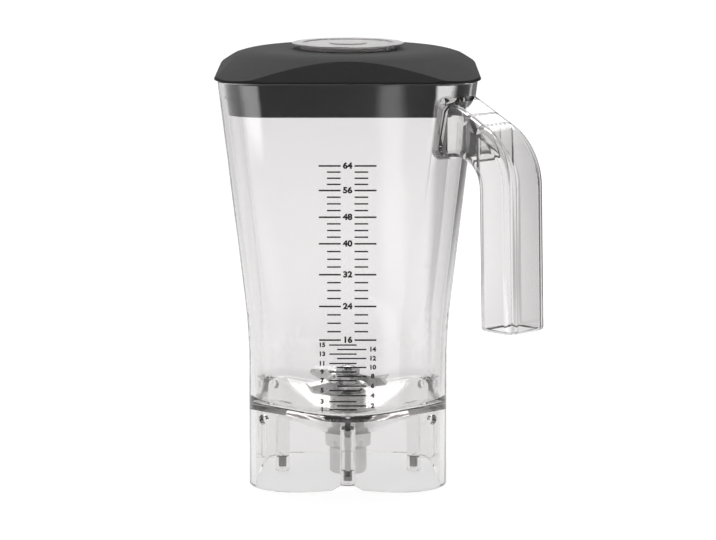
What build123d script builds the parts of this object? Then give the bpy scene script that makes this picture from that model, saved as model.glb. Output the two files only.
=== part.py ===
from build123d import *
import os
from math import atan, cos, degrees, radians, sin, sqrt, tan

# Blender jar with lid, filler cap and cutter. Millimetres, +Z up.
# The origin lies on the cutter's axis, in the plane of the skirt's bottom rim.
# The measuring scale faces -Y, and the handle stands on the corner between +X and -Y.

# Jar: square body with rounded corners, upright below and flared above
base_half = 57.5
flare_z = 91.0
flare = atan(0.1134)
flare_r = 355.0
rim_z = 238.2
corner_r = 28.0
wall = 3.4
rim_wall = 2.5
rim_ledge = 9.7
rim_round = 0.9
foot_round = 0.8

# Jar floor: a dish that slopes down to a flat landing round the cutter
floor_top = 30.5
floor_t = 4.5
floor_slope = 0.40
floor_round = 6.0
landing_r = 17.5

# Skirt: arched notches in the rim, drain holes at the corners, posts for the magnets
notch_width = 18.5
notch_roof = 8.0
notch_z = 4.2
arch_width = 58.0
arch_z = 1.2
drain_r = 2.9
drain_z = 41.5
post_r = 4.4
post_reach = 39.5
post_bottom = 1.5
rib_t = 3.0
rib_bottom = 9.0
magnet_r = 2.5
magnet_t = 6.0
magnet_inset = 2.5
magnet_gap = 0.1

# Handle: a hollow grip with a sloping arm, cored out from below
grip_reach = 48.1
grip_lean = 0.026
grip_depth = 26.0
grip_width = 30.4
grip_bottom = 101.5
grip_foot_round = 2.0
handle_round = 6.0
handle_wall = 2.6
arm_drop = 32.2
arm_slope = 0.48
arm_bend_r = 38.0
arm_depth = 6.5
arm_under_slope = 0.16
finger_r = 16.0
rib_reach = 11.7
handle_rib_t = 2.4
root_depth = 14.3

# Lid: rubber crown that slopes to low corners, cut by a facet on each side, and a hollow plug
lid_rise = 13.8
lid_overhang = 1.8
lip_round = 0.6
crown_round = 0.8
crown_edge = 1.25
crown_bend_r = 44.0
crown_slope = 0.335
facet_rise = 1.6
facet_inset = 0.6
facet_slope = 0.86
lid_gap = 0.4
lid_wall = 3.2
plug_depth = 19.2
collar_t = 3.2
collar_depth = 18.0

# Filler cap: clear disc on a shouldered, hollow skirt
cap_r = 32.5
cap_t = 1.2
cap_shoulder_r = 27.8
cap_shoulder_t = 2.3
cap_skirt_r = 25.8
cap_skirt_t = 2.4
cap_skirt_depth = 15.0
cap_gap = 0.35
cap_dish_r = 26.5
cap_dish_depth = 0.4
cap_boss_r = 11.0
cap_edge_round = 0.45

# Cutter housing: clamped through the floor by a nut
shank_r = 11.0
shank_gap = 0.2
flange_r = 16.5
flange_t = 3.2
neck_r = 10.5
housing_above = 19.6
housing_below = 13.1
housing_round = 1.2
gasket_t = 0.8
gasket_r = 15.8
washer_t = 0.8
nut_r = 13.5
nut_t = 7.9
nut_notches = 6
nut_notch_r = 2.2

# Bearings, seal and spindle
spindle_r = 4.0
bearing_r = 8.0
bearing_t = 5.0
ring_t = 1.5
ball_r = 1.1
balls = 8
play = 0.05
seat_gap = 0.02
seal_t = 3.3
seal_r = 8.4
seat_shoulder_t = 1.0
seat_shoulder_r = 6.8
journal_r = 5.0
circlip_t = 1.0
circlip_lip = 0.9
circlip_ring = 1.5
circlip_groove = 0.7
circlip_mouth = 5.0

# Blade stack on the spindle
seat_lift = 0.5
seat_r = 7.5
seat_t = 1.5
tang_r = 3.5
tang_flat = 2.7
blade_t = 2.0
blade_hub_r = 8.0
blade_root = 6.0
blade_twist_end = 13.0
blade_reach = 28.0
blade_width = 13.0
blade_tip_width = 7.0
blade_tip_shift = 2.0
blade_edge = 0.4
blade_bevel = 4.0
blade_pitch = radians(42)
upper_turn = radians(-38)
lower_turn = radians(40)
spacer_r = 7.0
spacer_t = 2.5
blade_washer_t = 1.0
blade_nut_flats = 12.0
blade_nut_t = 3.2
blade_nut_dome = 2.2
blade_nut_rim = 0.4
blade_nut_thread = 3.2
thread_end = 0.5

# Drive coupling: splined socket under the floor
coupling_bottom = 1.0
coupling_r = 10.9
coupling_top_gap = 0.6
coupling_hub_r = 5.4
coupling_grip = 7.5
pilot_r = 7.5
pilot_depth = 3.5
spline_r = 5.2
spline_tip_r = 6.6
spline_teeth = 12
spline_width = 1.5
coupling_round = 1.0

# Places that follow from the sizes above
rim_half = base_half + (rim_z - flare_z) * tan(flare)
rim_corner = (rim_half - corner_r) * sqrt(2) + corner_r
rim_ledge_z = rim_z - rim_ledge
grip_out = rim_corner + grip_reach
arm_top_z = rim_z - arm_drop
arm_under_z = arm_top_z - arm_depth
rib_in = rim_corner + rib_reach
root_in = rim_corner - root_depth
lid_half = rim_half + lid_overhang
lid_corner_r = corner_r + lid_overhang
lid_corner = (lid_half - lid_corner_r) * sqrt(2) + lid_corner_r
lid_top = rim_z + lid_rise
facet_z = rim_z + facet_rise
facet_half = lid_half - facet_inset
plug_bottom = rim_z - plug_depth
floor_under = floor_top - floor_t
housing_top = floor_top + housing_above
housing_bottom = floor_top - housing_below
flange_bottom = floor_top + gasket_t
nut_top = floor_under - washer_t
nut_bottom = nut_top - nut_t
seal_bottom = housing_top - seal_t
upper_bearing_top = seal_bottom - seat_shoulder_t
upper_bearing_z = upper_bearing_top - bearing_t
lower_bearing_z = housing_bottom + circlip_lip + circlip_t
lower_bearing_top = lower_bearing_z + bearing_t
coupling_top = min(housing_bottom, nut_bottom) - coupling_top_gap
seat_z = housing_top + seat_lift
lower_blade_z = seat_z + seat_t
spacer_z = lower_blade_z + blade_t
upper_blade_z = spacer_z + spacer_t
blade_washer_z = upper_blade_z + blade_t
blade_nut_z = blade_washer_z + blade_washer_t
blade_nut_flat = blade_nut_z + blade_nut_t
pitch_r = (spindle_r + bearing_r) / 2

# The handle stands in the upright plane through the axis and its corner: x runs outwards, y up
handle_plane = Plane(origin=(0, 0, 0), x_dir=(1, -1, 0), z_dir=(-1, -1, 0))
far = 400.0


def turned(*corners):
    """A solid of revolution about the cutter's axis, from (radius, height) corners."""
    return revolve(Plane.XZ * make_face(Polyline(*corners, close=True)), Axis.Z)


def tube(inner_r, outer_r, bottom, top):
    """A plain ring about the cutter's axis."""
    return turned((inner_r, bottom), (outer_r, bottom), (outer_r, top), (inner_r, top))


def drum(radius, bottom, top):
    """A plain disc about the cutter's axis."""
    return turned((0, bottom), (radius, bottom), (radius, top), (0, top))


def around(shape, count):
    """Copies of a shape, evenly spaced about the cutter's axis."""
    return [Rot(0, 0, 360 * step / count) * shape for step in range(count)]


def edges_at(shape, height):
    """The edges of a shape that lie flat at one height."""
    return shape.edges().filter_by_position(Axis.Z, height - 0.001, height + 0.001)


def slab(bottom, top):
    """All the space between two heights."""
    return Pos(0, 0, (bottom + top) / 2) * Box(far, far, top - bottom)


def flared_body(inset, bottom, top):
    """The square body, a distance inset inside the jar's outer surface."""
    half = base_half - inset
    bend_z = flare_z + inset * tan(flare / 2)
    reach = (flare_r + inset) * tan(flare / 2)
    start = min(bottom, 0)
    bend_low = (half, bend_z - reach)
    bend_high = (half + reach * sin(flare), bend_z + reach * cos(flare))
    top_half = half + (top - bend_z) * tan(flare)
    side = Line((half, start), bend_low)
    side += TangentArc(bend_low, bend_high, tangent=(0, 1))
    side += Line(bend_high, (top_half, top))
    outline = side + mirror(side, about=Plane.YZ)
    outline += Line((-half, start), (half, start))
    outline += Line((-top_half, top), (top_half, top))
    face = make_face(outline)
    front = extrude(Plane.XZ * face, amount=far, both=True)
    flank = extrude(Plane.YZ * face, amount=far, both=True)
    body = front & flank
    corners = [edge for edge in body.edges() if edge.bounding_box().size.Z > 1]
    body = fillet(corners, corner_r - inset)
    return body & slab(bottom, top) if bottom > start else body


def dish_z(radius):
    """Height of the floor's upper face at a radius."""
    return floor_top + floor_slope * max(0, radius - landing_r)


def jar_cavity(inside):
    """The space that is filled, with rounded edges at the floor and a wider mouth."""
    above = turned((0, floor_top), (landing_r, floor_top), (far, dish_z(far)), (far, 2 * far), (0, 2 * far))
    cavity = inside & above
    dish = cavity.faces().filter_by(GeomType.CONE).sort_by(Axis.Z)[0]
    floor_line = [edge for edge in dish.edges() if edge.geom_type not in (GeomType.LINE, GeomType.CIRCLE)]
    cavity = fillet(floor_line, floor_round)
    return cavity + flared_body(rim_wall, rim_ledge_z, rim_z + 1)


def skirt_socket(inside):
    """The open space under the floor, which goes over the motor base."""
    land = landing_r - floor_t * tan(atan(floor_slope) / 2)
    rise = floor_slope * (far - land)
    below = turned((0, -1), (far, -1), (far, floor_under + rise), (land, floor_under), (0, floor_under))
    return inside & below


def skirt_cuts():
    """Notches in the bottom rim at the middle of each side, and drain holes at the corners."""
    corners = [
        (-arch_width / 2, -1), (-arch_width / 2, 0), (-notch_width / 2, arch_z), (-notch_roof / 2, notch_z),
        (notch_roof / 2, notch_z), (notch_width / 2, arch_z), (arch_width / 2, 0), (arch_width / 2, -1),
    ]
    profile = make_face(Polyline(*corners, close=True))
    notch = Pos(0, -base_half, 0) * extrude(Plane.XZ * profile, amount=1.5 * wall, both=True)
    corner = (base_half - corner_r) * sqrt(2) + corner_r
    drain = Rot(0, 0, 45) * Pos(corner - wall / 2, 0, drain_z) * Rot(0, 90, 0) * Cylinder(drain_r, 2 * wall)
    return around(notch, 4) + around(drain, 4)


def magnet_posts():
    """Posts that hang from the floor, each tied to its wall by a rib."""
    post = Pos(post_reach, 0, post_bottom) * Cylinder(
        post_r, far / 4, align=(Align.CENTER, Align.CENTER, Align.MIN)
    )
    rib = Pos(post_reach, 0, rib_bottom) * Box(
        base_half - wall / 2 - post_reach, rib_t, far / 4, align=(Align.MIN, Align.CENTER, Align.MIN)
    )
    return around(post + rib, 4)


def magnet_place():
    """Centre of the magnet in the post on +X."""
    return Pos(post_reach, 0, post_bottom + magnet_inset + magnet_t / 2)


def magnet_pockets():
    """The holes up into the posts."""
    depth = magnet_inset + magnet_t
    pocket = Pos(post_reach, 0, post_bottom) * Cylinder(
        magnet_r + magnet_gap, 2 * depth
    )
    return around(pocket, 4)


def handle_outline(inset, bottom):
    """Side view of the handle's top and outer face, a distance inset inside them."""
    out = grip_out - inset
    top = arm_top_z - inset * (sqrt(1 + arm_slope**2) - arm_slope)
    foot = out + grip_lean * (arm_top_z - bottom)
    root_top = top + arm_slope * (out - root_in)
    return (foot, bottom), (out, top), (root_in, root_top)


def finger_face(height):
    """How far out the grip's inner face lies at a height."""
    return grip_out - grip_depth + grip_lean * (arm_top_z - height)


def profile_face(corners, rounds):
    """A flat shape from its corners, with some of them rounded."""
    face = make_face(Polyline(*corners, close=True))
    for corner, radius in rounds:
        face = fillet(face.vertices().sort_by_distance((*corner, 0))[0], radius)
    return face


def handle_form():
    """The handle's outside."""
    foot, bend, root_top = handle_outline(0, grip_bottom)
    finger_top = (finger_face(arm_under_z), arm_under_z)
    finger_foot = (finger_face(grip_bottom), grip_bottom)
    root_under = (root_in, arm_under_z - arm_under_slope * (finger_top[0] - root_in))
    face = profile_face(
        (foot, bend, root_top, root_under, finger_top, finger_foot),
        ((bend, arm_bend_r), (finger_top, finger_r)),
    )
    form = extrude(handle_plane * face, amount=grip_width / 2, both=True)
    side_x = grip_width / 2
    long_edges = [
        edge
        for edge in form.edges()
        if abs(abs(handle_plane.to_local_coords(edge.center()).Z) - side_x) < 0.01
        and handle_plane.to_local_coords(edge.center()).X > root_in + 1
        and edge.center().Z > grip_bottom + 1
    ]
    form = fillet(long_edges, handle_round)
    return fillet(edges_at(form, grip_bottom), grip_foot_round)


def handle_cores():
    """The hollows in the handle: two in the arm and one in the grip, all open below."""
    low = 0.0
    foot, bend, root_top = handle_outline(handle_wall, low)
    face = profile_face((foot, bend, root_top, (root_in, low)), ((bend, arm_bend_r - handle_wall),))
    core = extrude(handle_plane * face, amount=grip_width / 2 - handle_wall, both=True)
    top_edges = [
        edge
        for edge in core.edges()
        if abs(abs(handle_plane.to_local_coords(edge.center()).Z) - grip_width / 2 + handle_wall) < 0.01
        and handle_plane.to_local_coords(edge.center()).X > root_in + 1
        and edge.center().Z > low + 1
    ]
    core = fillet(top_edges, handle_round - handle_wall)
    finger_low, finger_high = finger_face(low), finger_face(far)
    finger_wall = Polyline(
        (finger_low, low), (finger_low + handle_wall, low),
        (finger_high + handle_wall, far), (finger_high, far), close=True,
    )
    rib = Polyline(
        (rib_in, low), (rib_in + handle_rib_t, low),
        (rib_in + handle_rib_t, far), (rib_in, far), close=True,
    )
    root = Polyline((0, low), (rim_corner, low), (rim_corner, far), (0, far), close=True)
    for strip in (finger_wall, rib, root):
        core -= extrude(handle_plane * make_face(strip), amount=grip_width, both=True)
    return core


def make_jar():
    """The one-piece clear moulding."""
    inside = flared_body(wall, -1, rim_z + 1)
    body = flared_body(0, 0, rim_z)
    jar = fillet(edges_at(body, 0), foot_round) - skirt_socket(inside)
    jar += magnet_posts()
    jar += handle_form() - handle_cores()
    jar -= jar_cavity(inside)
    jar -= skirt_cuts() + magnet_pockets()
    jar -= drum(shank_r + shank_gap, 0, floor_top + 1)
    return fillet(edges_at(jar, rim_z), rim_round)


def crown(inset):
    """The space under the lid's sloping crown and its four facets, a distance inset inside them."""
    fall = atan(crown_slope)
    bend_drop = crown_bend_r * (1 - cos(fall))
    slope_run = (lid_rise - crown_edge - bend_drop) / crown_slope
    flat_r = lid_corner - slope_run - crown_bend_r * sin(fall)
    top = lid_top - inset
    bend = crown_bend_r - inset
    brow = (flat_r, top)
    edge = (flat_r + bend * sin(fall), top - bend * (1 - cos(fall)))
    foot = (far, edge[1] - crown_slope * (far - edge[0]))
    outline = Line((0, top), brow) + TangentArc(brow, edge, tangent=(1, 0)) + Line(edge, foot)
    outline += Line(foot, (0, foot[1])) + Line((0, foot[1]), (0, top))
    # The seam of the revolved face runs down a corner, clear of the facets' arched edges
    space = Rot(0, 0, 45) * revolve(Plane.XZ * make_face(outline), Axis.Z)
    reach = facet_half - inset * sqrt(1 + 1 / facet_slope**2)
    low_half = reach + (facet_z - plug_bottom + 1) / facet_slope
    top_half = reach - (lid_top - facet_z) / facet_slope
    sides = make_face(
        Polyline(
            (-low_half, plug_bottom - 1), (low_half, plug_bottom - 1),
            (top_half, lid_top), (-top_half, lid_top), close=True,
        )
    )
    for plane in (Plane.XZ, Plane.YZ):
        space &= extrude(plane * sides, amount=far, both=True)
    return space


def make_lid():
    """Rubber lid: faceted crown over the rim, hollow plug, and a collar for the filler cap."""
    block = extrude(RectangleRounded(2 * lid_half, 2 * lid_half, lid_corner_r), lid_rise)
    cover = Pos(0, 0, rim_z) * block & crown(0)
    brow = [edge for edge in cover.edges() if edge.geom_type not in (GeomType.LINE, GeomType.CIRCLE)]
    cover = fillet(brow, crown_round)
    cover = fillet(edges_at(cover, rim_z), lip_round)
    inset = wall + lid_gap
    plug = flared_body(inset, plug_bottom, rim_z + lip_round)
    hollow = flared_body(inset + lid_wall, plug_bottom - 1, lid_top) & crown(lid_wall)
    hole_r = cap_skirt_r + cap_gap
    lid = cover + plug - hollow
    lid += tube(hole_r, hole_r + collar_t, lid_top - collar_depth, lid_top - lid_wall / 2)
    return lid - drum(hole_r, plug_bottom, lid_top + 1)


def make_filler_cap():
    """Clear cap: thin disc, shoulder on the lid, hollow skirt in the lid's collar."""
    disc = lid_top + cap_shoulder_t
    top = disc + cap_t
    skirt_in = cap_skirt_r - cap_skirt_t
    cap = turned(
        (0, disc), (skirt_in, disc), (skirt_in, lid_top - cap_skirt_depth),
        (cap_skirt_r, lid_top - cap_skirt_depth), (cap_skirt_r, lid_top), (cap_shoulder_r, lid_top),
        (cap_shoulder_r, disc), (cap_r, disc), (cap_r, top), (cap_dish_r, top),
        (cap_dish_r - cap_dish_depth, top - cap_dish_depth),
        (cap_boss_r + cap_dish_depth, top - cap_dish_depth), (cap_boss_r, top), (0, top),
    )
    brim = cap.edges().filter_by(GeomType.CIRCLE).filter_by(lambda edge: abs(edge.radius - cap_r) < 0.01)
    return fillet(brim, cap_edge_round)


def make_cutter_housing():
    """Turned housing: flange over the floor, threaded shank through it, bearings inside."""
    shoulder_z = upper_bearing_top
    groove_z = housing_bottom + circlip_lip
    groove_r = bearing_r + circlip_groove
    return turned(
        (bearing_r, housing_bottom), (shank_r, housing_bottom), (shank_r, flange_bottom),
        (flange_r, flange_bottom), (flange_r, flange_bottom + flange_t / 2),
        (neck_r + housing_round, flange_bottom + flange_t),
        (neck_r, flange_bottom + flange_t + housing_round),
        (neck_r, housing_top - housing_round), (neck_r - housing_round, housing_top),
        (seal_r, housing_top), (seal_r, seal_bottom),
        (seat_shoulder_r, seal_bottom), (seat_shoulder_r, shoulder_z),
        (bearing_r, shoulder_z), (bearing_r, groove_z + circlip_t), (groove_r, groove_z + circlip_t),
        (groove_r, groove_z), (bearing_r, groove_z),
    )


def make_retaining_nut():
    """Round nut under the floor, with notches for a spanner."""
    nut = tube(shank_r, nut_r, nut_bottom, nut_top)
    notch = Pos(nut_r, 0, nut_bottom) * Cylinder(nut_notch_r, nut_t)
    return nut - around(notch, nut_notches)


def bearing_ring(inner_r, outer_r, bottom):
    """One ring of a bearing, with the groove that the balls run in."""
    ring = tube(inner_r, outer_r, bottom, bottom + bearing_t)
    return ring - Pos(0, 0, bottom + bearing_t / 2) * Torus(pitch_r, ball_r + play)


def make_balls():
    """The balls of both bearings."""
    rows = [bottom + bearing_t / 2 for bottom in (lower_bearing_z, upper_bearing_z)]
    return [copy for z in rows for copy in around(Pos(pitch_r, 0, z) * Sphere(ball_r), balls)]


def make_retaining_ring():
    """Internal spring ring below the lower bearing, open at one side."""
    bottom = housing_bottom + circlip_lip
    outer = bearing_r + circlip_groove - seat_gap
    ring = tube(outer - circlip_ring - circlip_groove, outer, bottom, bottom + circlip_t)
    mouth = Box(far, circlip_mouth, circlip_t, align=(Align.MIN, Align.CENTER, Align.MIN))
    return ring - Pos(0, 0, bottom) * mouth


def make_spindle():
    """Spindle: thread in the coupling, bearing journal, seal journal, blade seat and flat-sided tang."""
    body = turned(
        (0, coupling_top - coupling_grip), (spindle_r, coupling_top - coupling_grip),
        (spindle_r, upper_bearing_top), (journal_r, upper_bearing_top), (journal_r, seat_z),
        (seat_r, seat_z), (seat_r, lower_blade_z), (0, lower_blade_z),
    )
    tang = drum(tang_r, lower_blade_z, blade_nut_z) & Pos(0, 0, blade_nut_z) * Box(2 * tang_flat, far, far)
    return body + tang + drum(tang_flat, blade_nut_z, blade_nut_z + blade_nut_thread)


def tang_hole(bottom, top):
    """The hole that a blade has for the spindle's flat-sided tang."""
    gap = seat_gap
    hole = drum(tang_r + gap, bottom - 1, top + 1)
    return hole & Pos(0, 0, bottom) * Box(2 * (tang_flat + gap), far, far)


def blade_section(reach, middle, width, shift, pitch):
    """Cross-section of a blade's wing, ground thin along its leading edge."""
    plane = Plane(origin=(reach, 0, middle), x_dir=(0, cos(pitch), sin(pitch)), z_dir=(1, 0, 0))
    back, front, half = shift - width / 2, shift + width / 2, blade_t / 2
    ground = (front, blade_edge - half), (front - blade_bevel, half)
    return plane * make_face(Polyline((back, -half), (front, -half), *ground, (back, half), close=True))


def make_blade(bottom, turn):
    """A blade with two wings that twist out of its hub, each sharpened along its leading edge."""
    top = bottom + blade_t
    middle = bottom + blade_t / 2
    sections = [
        blade_section(blade_root, middle, blade_width, 0, 0),
        blade_section(blade_twist_end, middle, blade_width, 0, blade_pitch),
        blade_section(blade_reach, middle, blade_tip_width, blade_tip_shift, blade_pitch),
    ]
    wing = mirror(loft(sections, ruled=True), about=Plane.XZ)
    blade = drum(blade_hub_r, bottom, top) + around(wing, 2)
    return Rot(0, 0, degrees(turn)) * blade - tang_hole(bottom, top)


def make_blade_nut():
    """Domed cap nut that clamps the blades."""
    hexagon = extrude(RegularPolygon(blade_nut_flats / 2, 6, major_radius=False), blade_nut_t)
    half = blade_nut_flats / 2 - blade_nut_rim
    dome_r = (half**2 + blade_nut_dome**2) / (2 * blade_nut_dome)
    ball = Pos(0, 0, blade_nut_flat + blade_nut_dome - dome_r) * Sphere(dome_r)
    nut = Pos(0, 0, blade_nut_z) * hexagon + (ball & slab(blade_nut_flat, far))
    return nut - drum(tang_flat + seat_gap, blade_nut_z - 1, blade_nut_z + blade_nut_thread + thread_end)


def make_drive_coupling():
    """Splined socket that the motor's drive shaft enters from below."""
    grip_z = coupling_top - coupling_grip
    pilot_z = coupling_bottom + pilot_depth
    coupling = turned(
        (pilot_r, coupling_bottom), (coupling_r - coupling_round, coupling_bottom),
        (coupling_r, coupling_bottom + coupling_round), (coupling_r, coupling_top - coupling_round),
        (coupling_r - coupling_round, coupling_top), (coupling_hub_r, coupling_top),
        (coupling_hub_r, lower_bearing_z), (spindle_r + seat_gap, lower_bearing_z),
        (spindle_r + seat_gap, grip_z), (spline_r, grip_z), (spline_r, pilot_z), (pilot_r, pilot_z),
    )
    slot = Pos(0, 0, pilot_z) * Box(
        spline_tip_r, spline_width, grip_z - pilot_z, align=(Align.MIN, Align.CENTER, Align.MIN)
    )
    return coupling - around(slot, spline_teeth)


pieces = {
    "jar": make_jar(),
    "lid": make_lid(),
    "filler_cap": make_filler_cap(),
    "cutter_housing": make_cutter_housing(),
    "housing_gasket": tube(shank_r + shank_gap, gasket_r, floor_top, flange_bottom),
    "nut_washer": tube(shank_r + shank_gap, nut_r, nut_top, floor_under),
    "retaining_nut": make_retaining_nut(),
    "upper_bearing_outer": bearing_ring(bearing_r - ring_t, bearing_r - seat_gap, upper_bearing_z),
    "upper_bearing_inner": bearing_ring(spindle_r + seat_gap, spindle_r + ring_t, upper_bearing_z),
    "lower_bearing_outer": bearing_ring(bearing_r - ring_t, bearing_r - seat_gap, lower_bearing_z),
    "lower_bearing_inner": bearing_ring(spindle_r + seat_gap, spindle_r + ring_t, lower_bearing_z),
    "bearing_balls": make_balls(),
    "bearing_spacer": tube(spindle_r + seat_gap, spindle_r + ring_t, lower_bearing_top, upper_bearing_z),
    "shaft_seal": tube(journal_r + play, seal_r - seat_gap, seal_bottom, housing_top),
    "retaining_ring": make_retaining_ring(),
    "spindle": make_spindle(),
    "lower_blade": make_blade(lower_blade_z, lower_turn),
    "blade_spacer": tube(tang_r + seat_gap, spacer_r, spacer_z, upper_blade_z),
    "upper_blade": make_blade(upper_blade_z, upper_turn),
    "blade_washer": tube(tang_r + seat_gap, spacer_r, blade_washer_z, blade_nut_z),
    "blade_nut": make_blade_nut(),
    "drive_coupling": make_drive_coupling(),
    "sensor_magnets": around(magnet_place() * Cylinder(magnet_r, magnet_t), 4),
}

os.makedirs("parts", exist_ok=True)
for name, piece in pieces.items():
    shape = Compound(children=piece) if isinstance(piece, list) else piece
    export_step(shape, f"parts/{name}.step")
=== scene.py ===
import math

import bpy
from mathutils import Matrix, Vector


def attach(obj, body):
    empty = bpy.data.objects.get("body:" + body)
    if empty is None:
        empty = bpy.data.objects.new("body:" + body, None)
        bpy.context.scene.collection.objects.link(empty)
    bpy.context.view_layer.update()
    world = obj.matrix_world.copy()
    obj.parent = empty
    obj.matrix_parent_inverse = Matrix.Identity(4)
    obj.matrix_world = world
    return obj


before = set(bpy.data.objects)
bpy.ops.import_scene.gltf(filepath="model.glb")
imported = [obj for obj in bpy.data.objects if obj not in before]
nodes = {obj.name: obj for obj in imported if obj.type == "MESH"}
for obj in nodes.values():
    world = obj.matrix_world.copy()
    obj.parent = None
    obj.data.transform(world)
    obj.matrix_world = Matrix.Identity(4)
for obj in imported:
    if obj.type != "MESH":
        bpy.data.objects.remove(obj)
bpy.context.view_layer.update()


# Jar: one moulding of clear polycarbonate, with its skirt, floor, posts and hollow handle.
# It comes polished from the mould, with the faint waves that a thick wall gets as it cools.


class Value:
    """One output of a node tree. Sums and products of values add Math nodes to the tree."""

    def __init__(self, tree, socket):
        self.tree = tree
        self.socket = socket

    def math(self, operation, first, second):
        return self.tree.node("ShaderNodeMath", {"operation": operation}, {0: first, 1: second})

    def __add__(self, other):
        return self.math("ADD", self, other)

    def __radd__(self, other):
        return self.math("ADD", other, self)

    def __sub__(self, other):
        return self.math("SUBTRACT", self, other)

    def __rsub__(self, other):
        return self.math("SUBTRACT", other, self)

    def __mul__(self, other):
        return self.math("MULTIPLY", self, other)

    def __rmul__(self, other):
        return self.math("MULTIPLY", other, self)

    def __gt__(self, other):
        return self.math("GREATER_THAN", self, other)

    def __lt__(self, other):
        return self.math("LESS_THAN", self, other)


class Tree:
    """A shader tree that makes its nodes from a type, settings and sockets."""

    def __init__(self, node_tree):
        self.nodes = node_tree.nodes
        self.links = node_tree.links
        self.nodes.clear()

    def node(self, kind, settings=None, sockets=None, output=0):
        """Adds one node, sets it up, fills or links its sockets, and gives one of its outputs."""
        made = self.nodes.new(kind)
        for name, setting in (settings or {}).items():
            if name == "stops":
                ramp = made.color_ramp.elements
                while len(ramp) < len(setting):
                    ramp.new(1.0)
                for element, (place, colour) in zip(ramp, setting):
                    element.position = place
                    element.color = colour
            else:
                setattr(made, name, setting)
        for name, given in (sockets or {}).items():
            if isinstance(given, Value):
                self.links.new(given.socket, made.inputs[name])
            else:
                made.inputs[name].default_value = given
        return Value(self, made.outputs[output]) if made.outputs else made

    def place(self):
        """A point's own X, Y and Z on the object, in metres."""
        point = {0: self.node("ShaderNodeTexCoord", output="Object")}
        return [self.node("ShaderNodeSeparateXYZ", sockets=point, output=axis) for axis in range(3)]

    def noise(self, scale, stretch=(1, 1, 1), detail=2.0):
        """Soft random variation over the surface, from 0 to 1."""
        coordinates = self.node("ShaderNodeTexCoord", output="Object")
        spread = self.node("ShaderNodeMapping", sockets={"Vector": coordinates, "Scale": stretch})
        sockets = {"Vector": spread, "Scale": scale, "Detail": detail}
        return self.node("ShaderNodeTexNoise", sockets=sockets, output="Fac")

    def bump(self, height, strength, distance):
        """A surface normal from a height."""
        sockets = {"Height": height, "Strength": strength, "Distance": distance}
        return self.node("ShaderNodeBump", sockets=sockets)

    def mix(self, factor, low, high):
        """A colour between two colours."""
        sockets = {"Factor": factor, 6: low, 7: high}
        return self.node("ShaderNodeMix", {"data_type": "RGBA"}, sockets, output=2)


def finish(name):
    """A new material's tree, and the call that gives it its surface."""
    material = bpy.data.materials.new(name)
    material.use_nodes = True
    tree = Tree(material.node_tree)

    def surface(sockets, depth=None):
        outputs = {"Surface": tree.node("ShaderNodeBsdfPrincipled", sockets=sockets)}
        if depth:
            outputs["Volume"] = tree.node("ShaderNodeVolumeAbsorption", sockets=depth)
        tree.node("ShaderNodeOutputMaterial", sockets=outputs)
        return material

    return tree, surface


def dress(material, *names):
    """Gives CAD nodes a material."""
    for name in names:
        mesh = nodes[name].data
        mesh.materials.clear()
        mesh.materials.append(material)


tree, surface = finish("clear_polycarbonate")
waves = tree.noise(22, detail=1.0)
clear_polycarbonate = surface(
    {
        "Base Color": (0.966, 0.959, 0.959, 1),
        "Roughness": 0.012 + 0.03 * tree.noise(35),
        "IOR": 1.57,
        "Transmission Weight": 1.0,
        "Normal": tree.bump(waves, 0.06, 0.002),
    },
    depth={"Color": (0.5, 0.475, 0.475, 1), "Density": 18.0},
)
dress(clear_polycarbonate, "jar")


# Measuring scale: black ink printed on the outside of the jar's front wall.
# The strokes follow the wall, which is upright below and leans outwards above.

wall_half = 0.0575
wall_lean = 0.1134
lean_angle = math.atan(wall_lean)
lean_start = 0.091
bend_radius = 0.355
bend_start = lean_start - bend_radius * math.tan(lean_angle / 2)
bend_end = bend_start + bend_radius * math.sin(lean_angle)


def wall_front(height):
    """Depth of the front wall's outside at a height, and the angle that it leans by."""
    if height < bend_start:
        return -wall_half, 0.0
    if height < bend_end:
        angle = math.asin((height - bend_start) / bend_radius)
        return -wall_half - bend_radius * (1 - math.cos(angle)), angle
    return -wall_half - (height - lean_start) * wall_lean, lean_angle


ink_thickness = 0.00009
ink_clearance = ink_thickness / 3


def print_on_wall(piece, across, height):
    """Stands a flat piece of ink up against the wall, and leaves its place in its mesh."""
    depth, angle = wall_front(height)
    piece.rotation_euler = (math.radians(90) + angle, 0, 0)
    piece.location = (across, depth - ink_clearance, height)
    bpy.ops.object.select_all(action="DESELECT")
    piece.select_set(True)
    bpy.context.view_layer.objects.active = piece
    bpy.ops.object.transform_apply(location=True, rotation=True, scale=True)


stroke_rounding = 0.2


def stroke(left, right, height, weight):
    """One printed bar: a plane drawn out to the ink's thickness, with its corners rounded off."""
    bpy.ops.object.select_all(action="DESELECT")
    bpy.ops.mesh.primitive_plane_add(size=1)
    bar = bpy.context.object
    bar.scale = (right - left, weight, 1)
    bpy.ops.object.transform_apply(location=False, rotation=False, scale=True)
    bpy.ops.object.mode_set(mode="EDIT")
    bpy.ops.mesh.select_all(action="SELECT")
    bpy.ops.mesh.bevel(offset=weight * stroke_rounding, segments=2, affect="VERTICES")
    bpy.ops.mesh.select_all(action="SELECT")
    bpy.ops.mesh.extrude_region_move(TRANSFORM_OT_translate={"value": (0, 0, ink_thickness)})
    bpy.ops.mesh.select_all(action="SELECT")
    bpy.ops.mesh.normals_make_consistent(inside=False)
    bpy.ops.object.mode_set(mode="OBJECT")
    print_on_wall(bar, (left + right) / 2, height)
    return bar


numeral_width = 1.1
numeral_weight = 0.05


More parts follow.
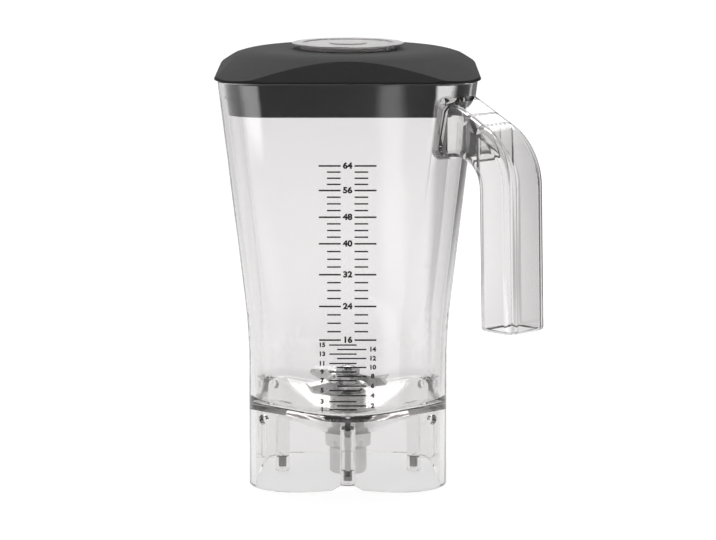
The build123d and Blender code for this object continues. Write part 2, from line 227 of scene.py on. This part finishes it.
def numeral(number, across, height, size):
    """One printed number, centred on its mark."""
    bpy.ops.object.select_all(action="DESELECT")
    bpy.ops.object.text_add()
    text = bpy.context.object
    text.data.body = str(number)
    text.data.align_x = "CENTER"
    text.data.align_y = "CENTER"
    text.data.size = size
    text.data.offset = size * numeral_weight
    text.data.extrude = ink_thickness / 2
    text.data.resolution_u = 4
    bpy.ops.object.convert(target="MESH")
    piece = bpy.context.object
    piece.scale = (numeral_width, 1, 1)
    print_on_wall(piece, across, height)
    return piece


def joined(pieces, name):
    """Several pieces as one."""
    bpy.ops.object.select_all(action="DESELECT")
    for piece in pieces:
        piece.select_set(True)
    bpy.context.view_layer.objects.active = pieces[0]
    bpy.ops.object.join()
    pieces[0].name = name
    return pieces[0]


coarse_heights = {
    16: 0.0897, 24: 0.1095, 32: 0.1282, 40: 0.1463, 48: 0.1618, 56: 0.1773, 64: 0.1915,
}
fine_heights = {
    1: 0.0490, 2: 0.0512, 3: 0.0537, 4: 0.0572, 5: 0.0602, 6: 0.0628, 7: 0.0660, 8: 0.0685,
    9: 0.0710, 10: 0.0737, 11: 0.0760, 12: 0.0789, 13: 0.0815, 14: 0.0842, 15: 0.0868,
}
bar_inner = 0.0039
bar_outer = 0.0164
bar_weight = 0.00095
coarse_size = 0.0048
steps_between = 4
short_outer = 0.0117
short_weight = 0.00085
odd_ends = (-0.0106, 0.0051)
even_ends = (-0.0061, 0.0107)
odd_numeral = -0.0147
even_numeral = 0.0143
fine_weight = 0.0008
fine_size = 0.0035

strokes = []
numerals = []


def pair_of_strokes(outer, height, weight):
    """The same bar on both sides of the scale's middle."""
    for side in (-1, 1):
        left, right = sorted((side * bar_inner, side * outer))
        strokes.append(stroke(left, right, height, weight))


coarse = sorted(coarse_heights.items())
for number, height in coarse:
    numerals.append(numeral(number, 0, height, coarse_size))
    pair_of_strokes(bar_outer, height, bar_weight)
for (_, low), (_, high) in zip(coarse, coarse[1:]):
    for step in range(1, steps_between):
        pair_of_strokes(short_outer, low + (high - low) * step / steps_between, short_weight)
for number, height in fine_heights.items():
    odd = number % 2 == 1
    left, right = odd_ends if odd else even_ends
    strokes.append(stroke(left, right, height, fine_weight))
    numerals.append(numeral(number, odd_numeral if odd else even_numeral, height, fine_size))

tree, surface = finish("scale_ink")
scale_ink = surface({
    "Base Color": tree.mix(tree.noise(900), (0.012, 0.012, 0.013, 1), (0.03, 0.03, 0.031, 1)),
    "Roughness": 0.4 + 0.2 * tree.noise(400),
})
for piece in (joined(strokes, "scale_strokes"), joined(numerals, "scale_numerals")):
    piece.data.materials.clear()
    piece.data.materials.append(scale_ink)
    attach(piece, "jar")


# Cutter housing: a turned steel body, clamped through the floor between a gasket and a round nut.
# The tool leaves fine rings round its axis. The gasket and the shaft's seal are black rubber.

stain = 0.8


def turned_steel(name, shade, roughness, rings, metal=1.0):
    """Steel with the rings that a lathe leaves, and small differences in polish."""
    tree, surface = finish(name)
    marks = tree.noise(rings, stretch=(0.02, 0.02, 1.0), detail=3.0)
    blotches = tree.noise(120)
    dark = tuple(part * stain for part in shade)
    return surface({
        "Base Color": tree.mix(blotches, (*dark, 1), (*shade, 1)),
        "Metallic": metal,
        "Roughness": roughness + 0.14 * marks,
        "Normal": tree.bump(marks, 0.15, 0.0002),
    })


housing_steel = turned_steel("housing_steel", (0.66, 0.655, 0.65), 0.2, 2600)
dress(housing_steel, "cutter_housing", "nut_washer")

nut_steel = turned_steel("nut_steel", (0.96, 0.95, 0.945), 0.45, 1800, metal=0.1)
dress(nut_steel, "retaining_nut")

tree, surface = finish("seal_rubber")
seal_rubber = surface({
    "Base Color": tree.mix(tree.noise(300), (0.02, 0.02, 0.02, 1), (0.04, 0.04, 0.04, 1)),
    "Roughness": 0.55 + 0.15 * tree.noise(500),
})
dress(seal_rubber, "housing_gasket", "shaft_seal")


# Bearings and spindle: ground steel rings and balls round a stainless spindle.
# They sit inside the housing, with a spacer between them and a spring ring below.

bearing_steel = turned_steel("bearing_steel", (0.58, 0.585, 0.6), 0.14, 4000)
bearing_rings = [f"{place}_bearing_{ring}" for place in ("upper", "lower") for ring in ("outer", "inner")]
dress(bearing_steel, *bearing_rings, "bearing_balls", "bearing_spacer", "retaining_ring")

spindle_steel = turned_steel("spindle_steel", (0.64, 0.64, 0.64), 0.18, 3000)
dress(spindle_steel, "spindle")


# Blades: two stainless blanks, twisted at the root and ground along their leading edges.
# The grinding leaves short scratches across each wing. A spacer, a washer and a cap nut hold them.

tree, surface = finish("ground_blade")
scratches = tree.noise(500, stretch=(1.0, 0.06, 1.0), detail=4.0)
blade_steel = surface({
    "Base Color": tree.mix(tree.noise(90), (0.72, 0.72, 0.715, 1), (0.86, 0.86, 0.855, 1)),
    "Metallic": 0.7,
    "Roughness": 0.2 + 0.22 * scratches,
    "Normal": tree.bump(scratches, 0.12, 0.0002),
})
dress(blade_steel, "lower_blade", "upper_blade")
dress(spindle_steel, "blade_spacer", "blade_washer", "blade_nut")


# Drive coupling and magnets: a machined socket under the floor, and dark plugs in the four posts.
# The socket is duller than the rest, because the motor's shaft rubs it.

coupling_steel = turned_steel("coupling_steel", (0.88, 0.87, 0.865), 0.42, 1500, metal=0.25)
dress(coupling_steel, "drive_coupling")

tree, surface = finish("magnet_coating")
magnet_coating = surface({
    "Base Color": tree.mix(tree.noise(400), (0.16, 0.16, 0.16, 1), (0.24, 0.24, 0.24, 1)),
    "Metallic": 0.6,
    "Roughness": 0.35 + 0.2 * tree.noise(300),
})
dress(magnet_coating, "sensor_magnets")


# Lid: black rubber, moulded in one piece with the plug that closes the jar's mouth.
# Its crown has a fine pebbled grain, and its plug is smooth where it seals.

rim_height = 0.2382
tree, surface = finish("black_rubber")
crown = tree.place()[2] > rim_height
grain = tree.noise(1100, detail=3.0)
blooms = tree.noise(45, detail=4.0)
black_rubber = surface({
    "Base Color": tree.mix(blooms, (0.016, 0.016, 0.0165, 1), (0.026, 0.026, 0.0265, 1)),
    "Roughness": 0.14 + crown * (0.56 + 0.2 * grain),
    "Specular IOR Level": 0.4,
    "Coat Weight": 1.0 - crown,
    "Coat Roughness": 0.06,
    "Normal": tree.bump(grain * crown, 0.35, 0.0003),
})
dress(black_rubber, "lid")


# Filler cap: a clear moulded plug in the lid's middle hole, lifted out to add ingredients.
# Its top is dished round a low boss, and a narrower shoulder stands on the lid under its rim.

tree, surface = finish("clear_cap")
cap_waves = tree.noise(60, detail=1.0)
clear_cap = surface({
    "Base Color": (0.72, 0.7, 0.7, 1),
    "Roughness": 0.03 + 0.06 * tree.noise(80),
    "IOR": 1.5,
    "Transmission Weight": 0.8,
    "Normal": tree.bump(cap_waves, 0.04, 0.001),
})
dress(clear_cap, "filler_cap")


# Studio: a pale floor that runs out into a white background, a broad lamp above and behind,
# and a weak one at front left. Floor and background are white to the camera, and papers of
# several shades in what glass, rubber and metal show, among them a painted shadow of the jar
# and painted light for the parts inside it.

floor_size = 12
white = (1, 1, 1, 1)


class Backdrop(Tree):
    """The tree of the floor or the room, which shows each kind of ray a look of its own."""

    def ray(self, kind):
        """1 for rays of one kind, such as those that the camera sends out."""
        return self.node("ShaderNodeLightPath", output=f"Is {kind} Ray")

    def turns(self, kind):
        """How many times a ray has been mirrored, scattered or let through on its way."""
        return self.node("ShaderNodeLightPath", output=f"{kind} Depth")

    def turned(self, kind):
        """1 for rays that have been mirrored, scattered or let through at least once."""
        return self.turns(kind) > 0.5

    def choose(self, factor, first, second):
        """One shader or another, by a value from 0 to 1."""
        return self.node("ShaderNodeMixShader", sockets={0: factor, 1: first, 2: second})

    def fade(self, value, start, end):
        """A value's soft step from 0 to 1."""
        sockets = {"Value": value, "From Min": start, "From Max": end}
        return self.node("ShaderNodeMapRange", {"interpolation_type": "SMOOTHSTEP"}, sockets)

    def band(self, value, start, full, wane, end):
        """A value's soft step up to 1 and back."""
        return self.fade(value, start, full) * (1.0 - self.fade(value, wane, end))

    def paper(self, shade, glow):
        """Paper that takes some of the light and its shadow, and adds a glow of its own."""
        grey = (shade, shade, shade, 1)
        spread = self.node("ShaderNodeBsdfDiffuse", sockets={"Color": grey})
        added = self.node("ShaderNodeEmission", sockets={"Color": white, "Strength": glow})
        return self.node("ShaderNodeAddShader", sockets={0: spread, 1: added})

    def glow(self, colour, strength):
        """Light from far away."""
        return self.node("ShaderNodeBackground", sockets={"Color": colour, "Strength": strength})


bpy.ops.object.select_all(action="DESELECT")
bpy.ops.mesh.primitive_plane_add(size=floor_size)
floor = bpy.context.object
floor.name = "floor"
floor_paper = bpy.data.materials.new("floor_paper")
floor_paper.use_nodes = True
tree = Backdrop(floor_paper.node_tree)

across, along, _ = tree.place()
off_middle = across.math("ABSOLUTE", across, 0.0)
reach = across.math("SQRT", across * across + along * along, 0.0)

# Mirrored in front of the jar: dark paper with a lit slit, so that black rubber stays black,
# and two bright sheets further out, for what the jar's outer wall or a bare plug mirrors
slit_edges = (0.018, 0.028, 0.034, 0.044)
sheet_inside = (0.22, 0.34)
sheet_ring = (0.54, 0.62, 0.8, 0.86)
faces_of_one_wall = 2
dark_front = tree.paper(0.18, 0.04)
lit_slit = tree.paper(0.25, 0.9)
left_sheet = tree.paper(0.25, 2.5)
right_sheet = tree.paper(0.25, 7.3)
in_front = tree.choose(tree.band(across, *slit_edges), dark_front, lit_slit)
on_sheet = tree.fade(off_middle, *sheet_inside) * tree.band(reach, *sheet_ring)
on_sheet = on_sheet * (tree.turns("Transmission") < faces_of_one_wall + 0.5)
in_front = tree.choose(on_sheet, in_front, tree.choose(across > 0.0, left_sheet, right_sheet))

# Mirrored elsewhere: a lit strip that widens to the back, between a pale left and a dark right
strip_spread = 0.04
strip_edge = (0.14, 0.6)
front_edge = (0.2, 0.45)
lit_strip = tree.paper(0.25, 0.75)
left_side = tree.paper(0.2, 0.55)
right_side = tree.paper(0.1, 0.08)
off_strip = tree.fade(off_middle - strip_spread * along, *strip_edge)
in_mirror = tree.choose(off_strip, lit_strip, tree.choose(across > 0.0, left_side, right_side))
in_mirror = tree.choose(tree.fade(0.0 - along, *front_edge), in_mirror, in_front)

# Seen through the jar: paper with a painted shadow of the jar, darker close to it and lighter further
# out, with a greyer wedge behind the handle, and painted light brighter than either for light that a dull
# surface has scattered
wedge_slope = 0.6
wedge_blur = 0.15
wedge_outside = (0.3, 0.45)
pale_edge = (0.075, 0.14)
grey_edge = (0.14, 0.3)
painted_shadow_fade = (0.05, 0.9)
# Painted shadow: the paper close behind the jar is darker, where the jar's shadow falls
painted_shadow_paper = tree.paper(0.25, 0.66)
far_paper = tree.paper(0.25, 0.86)
pale_wedge = tree.paper(0.2, 0.5)
grey_wedge = tree.paper(0.2, 0.38)
# Painted light: this paper glows brighter for what the parts inside the jar scatter, in place of the
# lamps' light that the glass stops
painted_light_paper = tree.paper(0.25, 1.4)
behind = tree.choose(tree.fade(reach, *painted_shadow_fade), painted_shadow_paper, far_paper)
wedge = tree.fade(wedge_slope * along - across, 0.0, wedge_blur)
wedge = wedge * (1.0 - tree.fade(across, *wedge_outside))
off_line = across - strip_spread * along
behind = tree.choose(tree.fade(off_line, *pale_edge) * wedge, behind, pale_wedge)
behind = tree.choose(tree.fade(off_line, *grey_edge) * wedge, behind, grey_wedge)
behind = tree.choose(tree.turned("Diffuse"), behind, painted_light_paper)

plain_paper = tree.paper(0.8, 0.0)
white_paper = tree.paper(0.3, 0.88)
floor_look = tree.choose(tree.ray("Transmission"), plain_paper, behind)
floor_look = tree.choose(tree.turned("Glossy"), floor_look, in_mirror)
floor_look = tree.choose(tree.ray("Camera"), floor_look, white_paper)
tree.node("ShaderNodeOutputMaterial", sockets={"Surface": floor_look})
floor.data.materials.append(floor_paper)

studio = bpy.data.worlds.new("studio")
bpy.context.scene.world = studio
studio.use_nodes = True
tree = Backdrop(studio.node_tree)

# The room is brightest high up behind the jar, a little to the left, and dark in front
lightest = (-0.28, 0.72, 0.62)
directions = {0: tree.node("ShaderNodeTexCoord", output="Generated"), 1: lightest}
towards = tree.node("ShaderNodeVectorMath", {"operation": "DOT_PRODUCT"}, directions, output="Value")


def shades(*levels):
    """Greys by direction, from 0 opposite the lightest place to 1 there."""
    stops = [(place, (level, level, level, 1)) for place, level in levels]
    grey = tree.node("ShaderNodeValToRGB", {"stops": stops}, {0: towards * 0.5 + 0.5})
    return tree.glow(grey, 1.0)


room = shades((0.0, 0.18), (1.0, 0.65))
through = shades((0.0, 0.8), (0.5, 0.5), (0.72, 0.55), (0.93, 0.9))
in_mirror = shades((0.0, 0.1), (0.45, 0.1), (0.72, 0.4), (0.93, 0.9))
bright_room = tree.glow(white, 2.2)
white_room = tree.glow(white, 1.0)
through = tree.choose(tree.turned("Diffuse"), through, bright_room)
sky = tree.choose(tree.ray("Transmission"), room, through)
sky = tree.choose(tree.turned("Glossy"), sky, in_mirror)
sky = tree.choose(tree.ray("Camera"), sky, white_room)
tree.node("ShaderNodeOutputWorld", sockets={"Surface": sky})

jar_middle = Vector((0, 0, 0.14))


def lamp(name, place, width, height, watts):
    """A soft box that faces the jar's middle."""
    light = bpy.data.lights.new(name, "AREA")
    light.shape = "RECTANGLE"
    light.size = width
    light.size_y = height
    light.energy = watts
    holder = bpy.data.objects.new(name, light)
    bpy.context.scene.collection.objects.link(holder)
    holder.location = place
    aim = jar_middle - Vector(place)
    holder.rotation_euler = aim.to_track_quat("-Z", "Y").to_euler()


lamp("left_box", (-1.1, -1.3, 0.9), width=0.6, height=0.9, watts=0.6)
lamp("top_box", (0, 0.9, 1.5), width=1.4, height=1.0, watts=14)

photo_width = 716
focal_pixels = 3315
camera_place = (0.0059, -1.927, 0.423)
camera_tilt = math.radians(8.9)
camera = bpy.data.cameras.new("camera")
camera.sensor_width = 36
camera.lens = camera.sensor_width * focal_pixels / photo_width
viewer = bpy.data.objects.new("camera", camera)
bpy.context.scene.collection.objects.link(viewer)
viewer.location = camera_place
viewer.rotation_euler = (math.radians(90) - camera_tilt, 0, 0)
bpy.context.scene.camera = viewer
bpy.context.scene.view_settings.view_transform = "Standard"

# Light is followed through many bounces, because the jar's floor and handle carry it along inside
bpy.context.scene.cycles.max_bounces = 32
bpy.context.scene.cycles.glossy_bounces = 24
bpy.context.scene.cycles.transmission_bounces = 32
